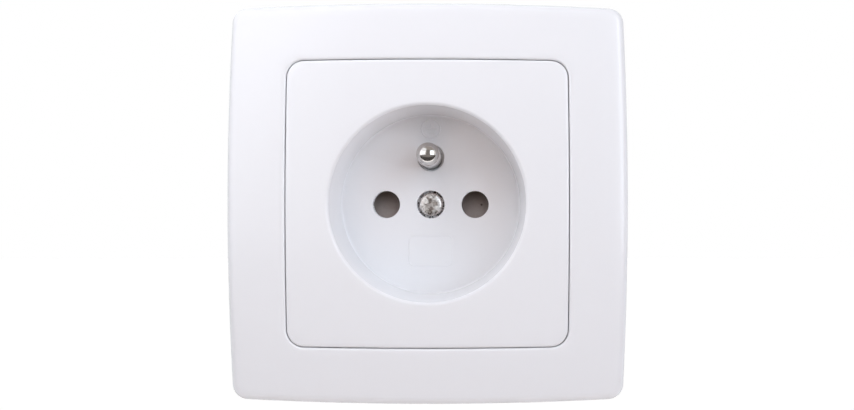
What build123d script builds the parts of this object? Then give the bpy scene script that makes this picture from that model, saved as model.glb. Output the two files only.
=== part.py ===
# French wall socket (two pins and earth) with a sprung shutter, made up of its separate pieces.
# Bench frame while modelling: x right, y up, z out of the wall towards the viewer, z = 0 on the wall.
# On export every piece turns by 90 degrees about x: z up, y into the wall, x right.
from build123d import *
import math
import os

# Dome shared by the frame and the insert
dome_height = 10.6
dome_radius = 450.0

# Cover frame: square with bowed sides, hollow from behind
frame_side = 80.9
frame_bow = 1.2
frame_corner = 3.4
frame_draft = 2.0
frame_edge_bevel = 1.05
frame_wall = 2.2

# Window of the frame, with the ledge that carries the insert
window_width = 56.7
window_height = 57.65
window_corner = 3.6
window_bow = 0.22
window_wall = 1.8
ledge_top = 6.4
ledge_thickness = 2.0
ledge_width = 2.2

# Feet of the frame on the mounting plate
foot_inset = 3.0
foot_side = 3.6

# Socket insert: face, skirt and round recess
insert_gap = 0.3
face_thickness = 2.2
skirt_wall = 1.8
rib_thickness = 1.2
recess_floor = -5.0
recess_floor_radius = 19.1
recess_draft = 2.0
recess_lip_bevel = 0.7
recess_floor_bevel = 0.5
cup_wall = 1.8
floor_thickness = 2.5

# Plug interface of the French system
pin_spacing = 19.0
pin_hole_radius = 2.9
plug_pin_radius = 2.4
plug_pin_length = 19.0
earth_offset = 10.0
earth_pin_radius = 2.4
earth_pin_projection = 14.0
earth_hole_radius = 2.78
earth_shank_radius = 2.2
earth_step = 0.1
earth_collar_radius = 3.4
earth_collar_height = 1.5
earth_tail_radius = 1.5
earth_rivet_radius = 2.3
earth_rivet_height = 0.8

# Middle screw and its captive nut
screw_radius = 1.5
screw_length = 20.0
screw_head_radius = 2.4
screw_head_height = 2.0
screw_head_bevel = 0.4
screw_head_sink = 0.6
screw_head_hole_radius = 2.975
screw_turn = 12.0
cross_width = 0.9
cross_length = 3.0
cross_depth = 1.1
nut_across_flats = 5.5
nut_thickness = 2.4
nut_grip = 4.6
boss_radius = 4.3

# Shutter slider with two ramps, and its chamber behind the recess floor
chamber_depth = 5.2
chamber_wall = 1.5
shutter_clearance = 0.2
shutter_side_clearance = 0.3
shutter_arm_inner = 5.0
shutter_arm_outer = 13.0
shutter_overlap = 0.7
shutter_ramp_rise = 3.9
shutter_ramp_round = 0.4
shutter_bridge_width = 20.4
shutter_bridge_height = 4.3
shutter_shoulder = 3.5
shutter_stop_gap = 0.4
shutter_open_room = 0.4
shutter_end_room = 2.6
guide_thickness = 1.2
guide_top = 5.2

# Return spring of the shutter
spring_wire = 0.35
spring_mean_radius = 1.35
spring_turns = 6
spring_steps = 10
spring_wire_sides = 6
spring_pocket_depth = 2.8
spring_pocket_clearance = 0.22
spring_end_gap = 0.1
spring_seat_width = 5.2
spring_peg_side = 1.4
spring_peg_length = 1.4

# Retainer plate behind the chamber, with two countersunk screws
retainer_thickness = 1.4
retainer_margin = 0.25
retainer_top = 6.0
pin_opening_side = 6.2
retainer_boss_clearance = 0.3
retainer_screw_radius = 1.0
retainer_screw_head_radius = 1.9
retainer_screw_head_height = 1.0
retainer_screw_length = 5.5
retainer_post_side = 4.6
retainer_post_sink = 0.4
retainer_screw_tip_room = 0.5

# Mounting plate of folded steel sheet
plate_edge_room = 2.6
plate_corner = 4.0
plate_thickness = 1.2
plate_opening_clearance = 0.5
box_screw_spacing = 60.0
slot_length = 6.0
slot_width = 3.6
leg_length = 11.0
leg_width = 8.0
leg_bend = 0.6
leg_relief = 0.5
leg_window_width = 4.6
leg_window_height = 3.4
leg_window_end = 2.4

# Base body: round bucket with contact chambers and terminal windows
base_land = 2.95
base_wall = 2.0
base_rim_chamfer = 0.8
base_edge_bevel = 0.8
leg_clearance = 0.1
lug_height = 1.0
lug_clearance = 0.15
contact_clearance = 0.2
terminal_window_room = 0.7
terminal_ledge = 0.9
wire_notch_width = 4.4
wire_notch_lead = 1.0
rivet_pocket_clearance = 0.4

# Contact cover plate on the base's deck
contact_cover_thickness = 1.4
contact_cover_margin = 0.3
contact_cover_lap = 1.5
contact_cover_gap = 0.3
bore_clearance = 0.2

# Contacts folded from brass strip
strip_thickness = 0.8
pin_tip_room = 0.8
contact_width = 7.0
contact_squeeze = 0.3
contact_root_room = 0.1
contact_flare_room = 1.0
contact_grip_depth = 3.4
contact_front_room = 0.5
contact_bend = 0.9
pad_reach = 4.1

# Steel clips round the contact leaves
clip_thickness = 0.4
clip_height = 3.0
clip_setback = 0.6
clip_gap = 0.05
clip_bend = 0.3

# Terminals with a screw and a square clamp plate
terminal_place = 17.4
terminal_screw_radius = 1.5
terminal_screw_length = 8.0
terminal_head_radius = 2.8
terminal_head_height = 2.0
terminal_slot_width = 0.8
terminal_slot_depth = 0.9
terminal_recess = 2.2
clamp_thickness = 1.2
thread_clearance = 0.05

# Levels and places worked out from the sizes above
tall = dome_height + 1.0
floor_back = recess_floor - floor_thickness
chamber_back = floor_back - chamber_depth
retainer_back = chamber_back - retainer_thickness
contact_cover_front = retainer_back - contact_cover_gap
deck = contact_cover_front - contact_cover_thickness
pad_front = recess_floor - plug_pin_length - pin_tip_room
pad_rear = pad_front - strip_thickness
clamp_rear = pad_rear - clamp_thickness
base_rear = clamp_rear - terminal_head_height - terminal_recess
shutter_front = floor_back - shutter_clearance
shutter_back = chamber_back + shutter_clearance
shutter_middle = (shutter_front + shutter_back) / 2
bridge_top = -boss_radius - shutter_stop_gap
bridge_bottom = bridge_top - shutter_bridge_height
shutter_arm_reach = pin_hole_radius + shutter_overlap
shutter_travel = shutter_arm_reach + plug_pin_radius + shutter_open_room
spring_seat = shutter_travel + shutter_end_room - bridge_bottom
spring_top = bridge_bottom + spring_pocket_depth - spring_end_gap
spring_bottom = -spring_seat + spring_end_gap
pin_place = pin_spacing / 2
cup_radius = recess_floor_radius + cup_wall
chamber_radius = cup_radius - chamber_wall
retainer_screw_place = chamber_radius - retainer_post_side / 2 + retainer_post_sink
guide_inner = shutter_arm_outer + shutter_side_clearance
screw_seat = recess_floor - screw_head_sink - screw_head_height
nut_front = screw_seat - screw_length + nut_grip
plate_side = frame_side - 2 * (frame_wall + plate_edge_room)
plate_opening_radius = cup_radius + plate_opening_clearance
base_radius = plate_opening_radius + base_land
bucket_radius = base_radius - base_wall
leg_inner = math.sqrt(base_radius**2 - (leg_width / 2) ** 2)
base_flat = leg_inner - leg_clearance
leg_window_low = -leg_length + leg_window_end
foot_place = plate_side / 2 - foot_inset
earth_tip = recess_floor + earth_pin_projection
contact_inner = pin_place - contact_width / 2
contact_grip = plug_pin_radius - contact_squeeze
contact_root = plug_pin_radius + contact_root_room
contact_flare = plug_pin_radius + contact_flare_room
pad_half_width = contact_flare + strip_thickness
pad_end = terminal_place + pad_reach
terminal_half_width = pad_half_width - terminal_ledge
clamp_side = 2 * (terminal_half_width - contact_clearance)
chamber_half_width = pad_half_width + contact_clearance
chamber_inner = contact_inner - clip_gap - clip_thickness - contact_clearance
chamber_outer = pad_end + contact_clearance
earth_chamber_inner = earth_offset - earth_collar_radius - contact_clearance
terminal_window_inner = terminal_place - clamp_side / 2 - terminal_window_room
terminal_window_outer = terminal_place + clamp_side / 2 + terminal_window_room
clip_reach = contact_inner + contact_width - clip_setback


def bowed_square(width, height, corner, bow):
    """Rounded square whose sides bulge outwards by bow at their middle."""
    right = width / 2 - bow
    top = height / 2 - bow
    corners = [(right, -top), (right, top), (-right, top), (-right, -top)]
    sides = [SagittaArc(a, b, -bow) for a, b in zip(corners, corners[1:] + corners[:1])]
    face = make_face(Curve() + sides)
    return fillet(face.vertices(), corner)


def frame_outline(inset):
    return bowed_square(frame_side - 2 * inset, frame_side - 2 * inset, frame_corner - inset, frame_bow)


def window_outline(growth):
    return bowed_square(
        window_width + 2 * growth, window_height + 2 * growth, window_corner + growth, window_bow
    )


def drafted_frame(inset):
    """Frame outline drawn from the wall towards the front, narrowing with the draft."""
    narrowing = tall * math.tan(math.radians(frame_draft))
    return loft([frame_outline(inset), Pos(0, 0, tall) * frame_outline(inset + narrowing)], ruled=True)


def dome(inset=0.0):
    """Ball whose crown is the shared front, or its inside at a wall's thickness, with its seam behind."""
    return Pos(0, 0, dome_height - dome_radius) * Rot(0, 90, 0) * Sphere(dome_radius - inset)


def bar(outline, bottom, top):
    """Straight prism of an outline between two levels."""
    return Pos(0, 0, bottom) * extrude(outline, top - bottom)


def rod(radius, bottom, top):
    """Cylinder on the z axis between two levels."""
    return bar(Circle(radius), bottom, top)


def block(left, right, low, high, bottom, top):
    """Box between two x, two y and two z values."""
    size = Box(right - left, high - low, top - bottom)
    return Pos((left + right) / 2, (low + high) / 2, (bottom + top) / 2) * size


def bevel_front(solid, reach):
    """Bevel the outer edge of a solid's foremost face."""
    return chamfer(solid.faces().sort_by(Axis.Z)[-1].outer_wire().edges(), reach)


def bevel_opening(solid, reach):
    """Bevel the edge of the opening in a solid's foremost face."""
    return chamfer(solid.faces().sort_by(Axis.Z)[-1].inner_wires()[0].edges(), reach)


def turned_copies(angles, shape):
    """Copies of a shape turned about the z axis."""
    return [Rot(0, 0, angle) * shape for angle in angles]


def make_cover_frame():
    blank = bevel_front(drafted_frame(0) & dome(), frame_edge_bevel)
    hollow = drafted_frame(frame_wall) & dome(frame_wall)
    hollow -= bar(window_outline(window_wall), ledge_top - ledge_thickness, tall)
    frame = blank - hollow
    frame -= bar(window_outline(0), ledge_top, tall)
    frame -= bar(window_outline(-ledge_width), 0, tall)
    foot = bar(Pos(foot_place, foot_place) * Rectangle(foot_side, foot_side), plate_thickness, tall)
    return frame + turned_copies((0, 90, 180, 270), foot & dome(frame_wall / 2))


def recess_radius(level):
    """Radius of the recess wall at a level, with its draft."""
    return recess_floor_radius + (level - recess_floor) * math.tan(math.radians(recess_draft))


def tapered_rod(bottom_radius, top_radius, bottom, top):
    """Truncated cone on the z axis between two levels."""
    return Pos(0, 0, (bottom + top) / 2) * Cone(bottom_radius, top_radius, top - bottom)


def make_socket_insert():
    face = bar(window_outline(-insert_gap), ledge_top, tall) & dome()
    face -= bar(window_outline(-insert_gap - skirt_wall), ledge_top, tall) & dome(face_thickness)
    cup = rod(cup_radius, floor_back, tall) & dome(face_thickness / 2)
    skirt_reach = (window_width - window_bow) / 2 - insert_gap
    rib = block(cup_radius - cup_wall / 2, skirt_reach - skirt_wall / 2,
                -rib_thickness / 2, rib_thickness / 2, ledge_top, tall) & dome(face_thickness / 2)
    insert = face + cup + turned_copies((0, 90, 180, 270), rib)
    recess = tapered_rod(recess_floor_radius, recess_radius(tall), recess_floor, tall)
    insert -= chamfer(recess.edges().group_by(Axis.Z)[0], recess_floor_bevel)
    insert = bevel_opening(insert, recess_lip_bevel)
    insert += shutter_housing()
    insert -= [Pos(x, 0) * rod(pin_hole_radius, floor_back, recess_floor) for x in (-pin_place, pin_place)]
    insert -= Pos(0, earth_offset) * rod(earth_hole_radius, floor_back, recess_floor)
    insert -= rod(screw_head_hole_radius, screw_seat, recess_floor)
    insert -= rod(screw_radius + bore_clearance, contact_cover_front, screw_seat)
    return insert


def shutter_housing():
    """Skirt, guides, spring seat and screw bosses behind the recess floor, and the middle boss."""
    within = rod(cup_radius, chamber_back, floor_back)
    housing = within - rod(chamber_radius, chamber_back, floor_back)
    for side in (-1, 1):
        wall = Pos(side * (guide_inner + guide_thickness / 2), 0) * Rectangle(guide_thickness, 2 * cup_radius)
        guide = bar(wall, chamber_back, floor_back) & within
        guide -= block(-cup_radius, cup_radius, guide_top, cup_radius, chamber_back, floor_back)
        housing += guide
        place = Pos(side * retainer_screw_place, 0)
        post = bar(Rectangle(retainer_post_side, retainer_post_side), chamber_back, floor_back)
        thread = rod(retainer_screw_radius + thread_clearance, chamber_back,
                     retainer_back + retainer_screw_length + retainer_screw_tip_room)
        housing = housing + place * post - place * thread
    half = spring_seat_width / 2
    housing += block(-half, half, -cup_radius, -spring_seat, chamber_back, floor_back) & within
    peg_root = Plane((0, -spring_seat, shutter_middle), z_dir=(0, 1, 0))
    peg = extrude(peg_root * Rectangle(spring_peg_side, spring_peg_side), spring_peg_length)
    return housing + peg + rod(boss_radius, contact_cover_front, floor_back)


def make_cover_screw():
    head = rod(screw_head_radius, screw_seat, screw_seat + screw_head_height)
    head = chamfer(head.edges().group_by(Axis.Z)[-1], screw_head_bevel)
    top = screw_seat + screw_head_height
    arm = bar(Rectangle(cross_length, cross_width), top - cross_depth, top)
    head -= turned_copies((screw_turn, screw_turn + 90), arm)
    return head + rod(screw_radius, screw_seat - screw_length, screw_seat)


def make_cover_nut():
    hexagon = RegularPolygon(nut_across_flats / 2, 6, major_radius=False)
    nut = bar(hexagon, nut_front - nut_thickness, nut_front)
    return nut - rod(screw_radius + thread_clearance, nut_front - nut_thickness, nut_front)


def make_shutter():
    half_bridge = shutter_bridge_width / 2
    right = [
        (shutter_arm_inner, bridge_top),
        (shutter_arm_inner, shutter_arm_reach),
        (shutter_arm_outer, shutter_arm_reach),
        (shutter_arm_outer, bridge_bottom + shutter_shoulder),
        (half_bridge, bridge_bottom),
    ]
    left = [(-x, y) for x, y in reversed(right)]
    outline = make_face(Polyline(right + left, close=True))
    slider = bar(outline, shutter_back, shutter_front)
    ramp = Plane.YZ * make_face(Polyline(
        (-shutter_arm_reach, shutter_front),
        (shutter_arm_reach, shutter_front - shutter_ramp_rise),
        (shutter_arm_reach, shutter_front),
        close=True,
    ))
    slider -= extrude(ramp, shutter_arm_outer, both=True)
    lead = slider.edges().filter_by(Axis.X).group_by(Axis.Y)[-1].sort_by(Axis.Z)[-2:]
    slider = fillet(lead, shutter_ramp_round)
    pocket = Circle(spring_mean_radius + spring_wire / 2 + spring_pocket_clearance)
    pocket_mouth = Plane((0, bridge_bottom, shutter_middle), z_dir=(0, 1, 0))
    return slider - extrude(pocket_mouth * pocket, spring_pocket_depth)


def coil_point(turn):
    """Point on the spring's coil after a number of turns."""
    angle = 2 * math.pi * turn
    rise = (spring_top - spring_bottom - spring_wire) / spring_turns
    return (
        spring_mean_radius * math.cos(angle),
        spring_bottom + spring_wire / 2 + rise * turn,
        shutter_middle + spring_mean_radius * math.sin(angle),
    )


def make_shutter_spring():
    steps = spring_turns * spring_steps
    path = Polyline([coil_point(step / spring_steps) for step in range(steps + 1)])
    section = Plane(origin=path @ 0, z_dir=path % 0) * RegularPolygon(spring_wire / 2, spring_wire_sides)
    return sweep(section, path, transition=Transition.RIGHT)


def retainer_screw(clearance):
    """Countersunk screw, or its seat when a clearance is given."""
    cone = tapered_rod(retainer_screw_head_radius + clearance, retainer_screw_radius + clearance,
                       retainer_back, retainer_back + retainer_screw_head_height)
    return cone + rod(retainer_screw_radius + clearance, retainer_back, retainer_back + retainer_screw_length)


def make_shutter_retainer():
    plate = rod(cup_radius - retainer_margin, retainer_back, chamber_back)
    plate -= block(-cup_radius, cup_radius, retainer_top, cup_radius, retainer_back, chamber_back)
    plate -= rod(boss_radius + retainer_boss_clearance, retainer_back, chamber_back)
    hole = bar(Rectangle(pin_opening_side, pin_opening_side), retainer_back, chamber_back)
    plate -= [Pos(x, 0) * hole for x in (-pin_place, pin_place)]
    return plate - [Pos(x, 0) * retainer_screw(thread_clearance)
                    for x in (-retainer_screw_place, retainer_screw_place)]


def make_retainer_screws():
    return [Pos(x, 0) * retainer_screw(0) for x in (-retainer_screw_place, retainer_screw_place)]


def folded_leg():
    """Leg on the x side of the plate: bend, flat and the window that snaps over a lug of the base."""
    middle = plate_thickness / 2
    path = FilletPolyline(
        (plate_opening_radius, middle),
        (leg_inner + middle, middle),
        (leg_inner + middle, -leg_length),
        radius=leg_bend + middle,
    )
    section = Plane.XZ * trace(path, plate_thickness)
    leg = extrude(section, leg_width / 2, both=True)
    half = leg_window_width / 2
    return leg - block(leg_inner - middle, leg_inner + 2 * plate_thickness, -half, half,
                       leg_window_low, leg_window_low + leg_window_height)


def make_mounting_plate():
    diagonals = (45, 135, 225, 315)
    plate = bar(RectangleRounded(plate_side, plate_side, plate_corner), 0, plate_thickness)
    plate -= rod(plate_opening_radius, 0, plate_thickness)
    slot = Pos(box_screw_spacing / 2, 0) * SlotOverall(slot_length, slot_width)
    plate -= turned_copies((0, 90, 180, 270), bar(slot, 0, plate_thickness))
    half = leg_width / 2 + leg_relief
    lance = block(leg_inner - leg_bend, leg_inner + plate_thickness + leg_length,
                  -half, half, 0, plate_thickness)
    plate -= turned_copies(diagonals, lance)
    return plate + turned_copies(diagonals, folded_leg())


def terminal_window():
    """Opening behind the terminal pad on the x side, with the notch for the wire."""
    window = block(terminal_window_inner, terminal_window_outer, -terminal_half_width, terminal_half_width,
                   base_rear, pad_rear)
    notch = block(terminal_place, base_radius, -wire_notch_width / 2, wire_notch_width / 2,
                  base_rear, pad_rear - wire_notch_lead)
    return window + notch


def base_lug():
    """Wedge on the x side that the leg's window snaps over."""
    low = leg_window_low + lug_clearance
    high = leg_window_low + leg_window_height - lug_clearance
    profile = Plane.XZ * make_face(Polyline(
        (base_flat, low), (base_flat + lug_height, low), (base_flat, high), close=True
    ))
    return extrude(profile, leg_window_width / 2 - lug_clearance, both=True)


def make_base_body():
    diagonals = (45, 135, 225, 315)
    base = rod(base_radius, base_rear, 0)
    base = chamfer(base.edges().group_by(Axis.Z)[0], base_edge_bevel)
    base -= rod(bucket_radius, deck, 0)
    half = leg_width / 2 + leg_relief
    flat = block(base_flat, base_radius + half, -half, half, -leg_length - leg_relief, 0)
    base -= turned_copies(diagonals, flat)
    rim = Plane.XZ * make_face(Polyline(
        (base_flat - base_rim_chamfer, 0), (base_flat, -base_rim_chamfer), (base_flat, 0), close=True
    ))
    base -= turned_copies(diagonals, extrude(rim, half, both=True))
    base += turned_copies(diagonals, base_lug())
    chamber = block(chamber_inner, chamber_outer, -chamber_half_width, chamber_half_width, pad_rear, deck)
    base -= turned_copies((0, 180), chamber)
    base -= Rot(0, 0, 90) * block(earth_chamber_inner, chamber_outer, -chamber_half_width, chamber_half_width,
                                  pad_rear, deck)
    base -= turned_copies((0, 90, 180), terminal_window())
    base -= Pos(0, earth_offset) * rod(
        earth_rivet_radius + rivet_pocket_clearance,
        pad_rear - earth_rivet_height - rivet_pocket_clearance, pad_rear
    )
    base -= rod(screw_radius + bore_clearance, nut_front, deck)
    hexagon = RegularPolygon(nut_across_flats / 2 + thread_clearance, 6, major_radius=False)
    return base - bar(hexagon, base_rear, nut_front)


def make_contact_cover():
    """T-shaped plate over the two contact chambers and the earth chamber."""
    half = chamber_half_width + contact_cover_lap
    plate = block(-bucket_radius, bucket_radius, -half, half, deck, contact_cover_front)
    plate += block(-half, half, half, bucket_radius, deck, contact_cover_front)
    plate &= rod(bucket_radius - contact_cover_margin, deck, contact_cover_front)
    plate -= rod(screw_radius + bore_clearance, deck, contact_cover_front)
    hole = bar(Rectangle(pin_opening_side, pin_opening_side), deck, contact_cover_front)
    plate -= [Pos(x, 0) * hole for x in (-pin_place, pin_place)]
    return plate - Pos(0, earth_offset) * rod(earth_shank_radius + bore_clearance, deck, contact_cover_front)


def make_contact():
    """Contact on the x side: flat pad with a threaded hole and two leaves that grip the plug's pin."""
    contact_end = contact_inner + contact_width
    pad = block(contact_inner, pad_end, -contact_root, contact_root, pad_rear, pad_front)
    pad += block(contact_end, pad_end, -pad_half_width, pad_half_width, pad_rear, pad_front)
    middle = strip_thickness / 2
    front = deck - contact_front_room
    path = FilletPolyline(
        (0, pad_rear + middle),
        (contact_root + middle, pad_rear + middle),
        (contact_root + middle, pad_front + contact_grip_depth),
        (contact_grip + middle, front - contact_grip_depth),
        (contact_flare + middle, front),
        radius=contact_bend,
    )
    leaf = extrude(Plane.YZ * trace(path, strip_thickness), contact_width)
    leaf = Pos(contact_inner, 0, 0) * leaf
    contact = pad + leaf + mirror(leaf, Plane.XZ)
    thread = rod(terminal_screw_radius + thread_clearance, pad_rear, pad_front)
    return contact - Pos(terminal_place, 0) * thread


def make_contact_spring():
    """Clip on the x side, open away from the middle, round both leaves behind their grip."""
    arm = contact_root + strip_thickness + clip_gap + clip_thickness / 2
    back = contact_inner - clip_gap - clip_thickness / 2
    path = FilletPolyline((clip_reach, arm), (back, arm), (back, -arm), (clip_reach, -arm), radius=clip_bend)
    grip_level = deck - contact_front_room - contact_grip_depth
    return bar(trace(path, clip_thickness), grip_level - clip_height, grip_level)


def make_earth_pin():
    shoulder = recess_floor + earth_step
    collar_front = pad_front + earth_collar_height
    profile = make_face(
        Polyline(
            (0, earth_tip), (0, pad_rear - earth_rivet_height),
            (earth_rivet_radius, pad_rear - earth_rivet_height), (earth_rivet_radius, pad_rear),
            (earth_tail_radius, pad_rear), (earth_tail_radius, pad_front),
            (earth_collar_radius, pad_front), (earth_collar_radius, collar_front),
            (earth_shank_radius, collar_front), (earth_shank_radius, shoulder),
            (earth_pin_radius, shoulder), (earth_pin_radius, earth_tip - earth_pin_radius),
        )
        + RadiusArc((earth_pin_radius, earth_tip - earth_pin_radius), (0, earth_tip), -earth_pin_radius)
    )
    return Pos(0, earth_offset) * revolve(Plane.XZ * profile, Axis.Z)


def make_earth_strap():
    strap = block(-pad_half_width, pad_half_width, earth_offset - earth_collar_radius, pad_end,
                  pad_rear, pad_front)
    strap -= Pos(0, earth_offset) * rod(earth_tail_radius, pad_rear, pad_front)
    return strap - Pos(0, terminal_place) * rod(terminal_screw_radius + thread_clearance, pad_rear, pad_front)


def terminal_screw():
    bottom = clamp_rear - terminal_head_height
    head = rod(terminal_head_radius, bottom, clamp_rear)
    slot = Rectangle(2 * terminal_head_radius, terminal_slot_width)
    head -= bar(slot, bottom, bottom + terminal_slot_depth)
    return head + rod(terminal_screw_radius, clamp_rear, clamp_rear + terminal_screw_length)


def make_terminal_screws():
    return turned_copies((0, 90, 180), Pos(terminal_place, 0) * terminal_screw())


def make_terminal_clamps():
    clamp = bar(Rectangle(clamp_side, clamp_side), clamp_rear, pad_rear)
    clamp -= rod(terminal_screw_radius + bore_clearance, clamp_rear, pad_rear)
    return turned_copies((0, 90, 180), Pos(terminal_place, 0) * clamp)


def save(name, shape):
    """Turn a piece from the bench to the wall and write it."""
    solids = shape if isinstance(shape, list) else [shape]
    turned = [Rot(90, 0, 0) * solid for solid in solids]
    export_step(turned[0] if len(turned) == 1 else Compound(turned), f"parts/{name}.step")


os.makedirs("parts", exist_ok=True)
contact = make_contact()
contact_spring = make_contact_spring()
save("cover_frame", make_cover_frame())
save("socket_insert", make_socket_insert())
save("cover_screw", make_cover_screw())
save("cover_nut", make_cover_nut())
save("shutter", make_shutter())
save("shutter_spring", make_shutter_spring())
save("shutter_retainer", make_shutter_retainer())
save("retainer_screws", make_retainer_screws())
save("mounting_plate", make_mounting_plate())
save("base_body", make_base_body())
save("contact_cover", make_contact_cover())
save("live_contact", contact)
save("neutral_contact", Rot(0, 0, 180) * contact)
save("live_contact_spring", contact_spring)
save("neutral_contact_spring", Rot(0, 0, 180) * contact_spring)
save("earth_pin", make_earth_pin())
save("earth_strap", make_earth_strap())
save("terminal_screws", make_terminal_screws())
save("terminal_clamps", make_terminal_clamps())
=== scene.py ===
# %% [markdown]
# # A French wall socket on its mounting plate
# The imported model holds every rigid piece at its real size. This lesson keeps that frame and gives the
# socket its looks: fine moulded shells for what the eye meets first, and a finish for every piece.
# Everything is in metres: x to the right, y into the wall, z up.

# %% Load the frame
import math

import bmesh
import bpy
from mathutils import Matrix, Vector


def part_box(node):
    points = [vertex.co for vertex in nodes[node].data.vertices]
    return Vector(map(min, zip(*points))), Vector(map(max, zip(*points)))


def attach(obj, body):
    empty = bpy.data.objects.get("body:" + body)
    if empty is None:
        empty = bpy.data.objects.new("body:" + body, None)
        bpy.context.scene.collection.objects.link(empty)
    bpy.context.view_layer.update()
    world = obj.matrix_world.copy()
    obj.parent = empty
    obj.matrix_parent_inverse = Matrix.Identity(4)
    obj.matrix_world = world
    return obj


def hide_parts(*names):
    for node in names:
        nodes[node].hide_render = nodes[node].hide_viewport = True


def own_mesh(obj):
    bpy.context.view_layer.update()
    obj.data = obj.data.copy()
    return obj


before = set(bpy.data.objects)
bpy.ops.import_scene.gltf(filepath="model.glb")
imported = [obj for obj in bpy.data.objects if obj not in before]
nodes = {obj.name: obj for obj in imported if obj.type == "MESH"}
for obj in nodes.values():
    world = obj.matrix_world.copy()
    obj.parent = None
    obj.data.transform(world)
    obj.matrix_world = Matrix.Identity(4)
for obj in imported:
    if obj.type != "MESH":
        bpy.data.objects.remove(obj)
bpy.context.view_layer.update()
scene = bpy.context.scene
scene.view_settings.view_transform = "Standard"
print("pieces in the frame:", len(nodes))

# %% [markdown]
# ## Working in millimetres from the wall
# A moulder thinks of a socket from the wall outwards, in millimetres. One function turns "right, up, out of
# the wall" into Blender's metres, and another reads a vertex back the same way.

# %% Places in millimetres
MM = 0.001


def spot(right, up, out):
    """Place in Blender's metres from millimetres to the right, up and out of the wall."""
    return Vector((right * MM, -out * MM, up * MM))


def from_wall(place):
    """Millimetres to the right, up and out of the wall of a place in metres."""
    return place.x / MM, place.z / MM, -place.y / MM


print("the wall plane holds", spot(0, 0, 0))

# %% [markdown]
# ## Colours and nodes
# Finishes are written as the hex colours that a paint chart would give. Blender's shaders want linear light,
# so one function converts them. A second adds a node and sets its options, and a third gives its inputs
# values or other nodes' outputs.

# %% Helpers for materials
WHITE = (1.0, 1.0, 1.0, 1.0)
BLACK = (0.0, 0.0, 0.0, 1.0)


def linear(hex_colour):
    """Linear colour with alpha from an sRGB hex value."""
    parts = [int(hex_colour[i:i + 2], 16) / 255 for i in (1, 3, 5)]
    light = [p / 12.92 if p <= 0.04045 else ((p + 0.055) / 1.055) ** 2.4 for p in parts]
    return (*light, 1.0)


def feed(tree, node, inputs):
    """Give each named input of a node a value or another node's output."""
    for socket, source in inputs.items():
        if isinstance(source, bpy.types.NodeSocket):
            tree.links.new(source, node.inputs[socket])
        else:
            node.inputs[socket].default_value = source


def add_node(tree, kind, options=None, inputs=None):
    """Add a node, set its options and feed its inputs."""
    node = tree.nodes.new(kind)
    for option, value in (options or {}).items():
        setattr(node, option, value)
    feed(tree, node, inputs or {})
    return node


def new_finish(name):
    """Empty material with its node tree, its shader and its place coordinates in metres."""
    material = bpy.data.materials.new(name)
    material.use_nodes = True
    tree = material.node_tree
    shader = tree.nodes["Principled BSDF"]
    place = add_node(tree, "ShaderNodeTexCoord").outputs["Object"]
    return material, tree, shader, place


def per_metre(millimetres):
    """Scale of a pattern whose features lie so many millimetres apart."""
    return 1 / (millimetres * MM)


print("helpers ready, white is", linear("#FFFFFF"))

# %% [markdown]
# ## Glossy white ABS
# The frame and the insert are injection-moulded ABS from a polished mould. It gives the eye a clean, cool
# white with crisp reflections that waver a little, because the skin shrinks unevenly as it cools. A low bump
# with features some millimetres apart makes that waver, and a second noise lets the gloss vary where hands
# wiped it.

# %% Glossy white ABS
PLASTIC_IOR = 1.53
white_abs, tree, shader, place = new_finish("moulded_glossy_white_abs")
waver = add_node(tree, "ShaderNodeTexNoise", inputs={
    "Vector": place, "Scale": per_metre(9.0), "Detail": 1.0})
bump = add_node(tree, "ShaderNodeBump", inputs={
    "Height": waver.outputs["Fac"], "Strength": 0.05, "Distance": 0.4 * MM})
wiped = add_node(tree, "ShaderNodeTexNoise", inputs={
    "Vector": place, "Scale": per_metre(14.0), "Detail": 3.0})
gloss = add_node(tree, "ShaderNodeMapRange", inputs={
    "Value": wiped.outputs["Fac"], "To Min": 0.14, "To Max": 0.22})
feed(tree, shader, {
    "Base Color": linear("#F2F2F4"), "IOR": PLASTIC_IOR,
    "Roughness": gloss.outputs["Result"], "Normal": bump.outputs["Normal"]})
print("made", white_abs.name)

# %% [markdown]
# ## Polished and worn nickel
# The earth pin is nickel-plated brass, polished bright: a mirror with the faintest turned rings. The middle
# screw has the same plating, but every visit of a screwdriver has scuffed it, so its gloss and its tint are
# broken up in patches.

# %% Nickel
bright_nickel, tree, shader, place = new_finish("polished_nickel_plate")
stretch = add_node(tree, "ShaderNodeMapping", inputs={"Vector": place, "Scale": (1.0, 30.0, 1.0)})
rings = add_node(tree, "ShaderNodeTexNoise", inputs={
    "Vector": stretch.outputs["Vector"], "Scale": per_metre(4.0), "Detail": 4.0})
gloss = add_node(tree, "ShaderNodeMapRange", inputs={
    "Value": rings.outputs["Fac"], "To Min": 0.06, "To Max": 0.16})
feed(tree, shader, {
    "Base Color": linear("#CCC7C3"), "Metallic": 1.0, "Roughness": gloss.outputs["Result"]})

worn_nickel, tree, shader, place = new_finish("scuffed_nickel_plate")
scuffs = add_node(tree, "ShaderNodeTexNoise", inputs={
    "Vector": place, "Scale": per_metre(0.9), "Detail": 5.0, "Distortion": 1.2})
worn = add_node(tree, "ShaderNodeMapRange", inputs={
    "Value": scuffs.outputs["Fac"], "From Min": 0.35, "From Max": 0.65})
gloss = add_node(tree, "ShaderNodeMapRange", inputs={
    "Value": worn.outputs["Result"], "To Min": 0.24, "To Max": 0.5})
tint = add_node(tree, "ShaderNodeMix", options={"data_type": "RGBA"}, inputs={
    "Factor": worn.outputs["Result"], "A": linear("#B3AAA5"), "B": linear("#FFF9F5")})
bump = add_node(tree, "ShaderNodeBump", inputs={
    "Height": scuffs.outputs["Fac"], "Strength": 0.5, "Distance": 0.1 * MM})
feed(tree, shader, {
    "Base Color": tint.outputs["Result"], "Metallic": 1.0,
    "Roughness": gloss.outputs["Result"], "Normal": bump.outputs["Normal"]})
print("made", bright_nickel.name, worn_nickel.name)

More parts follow.
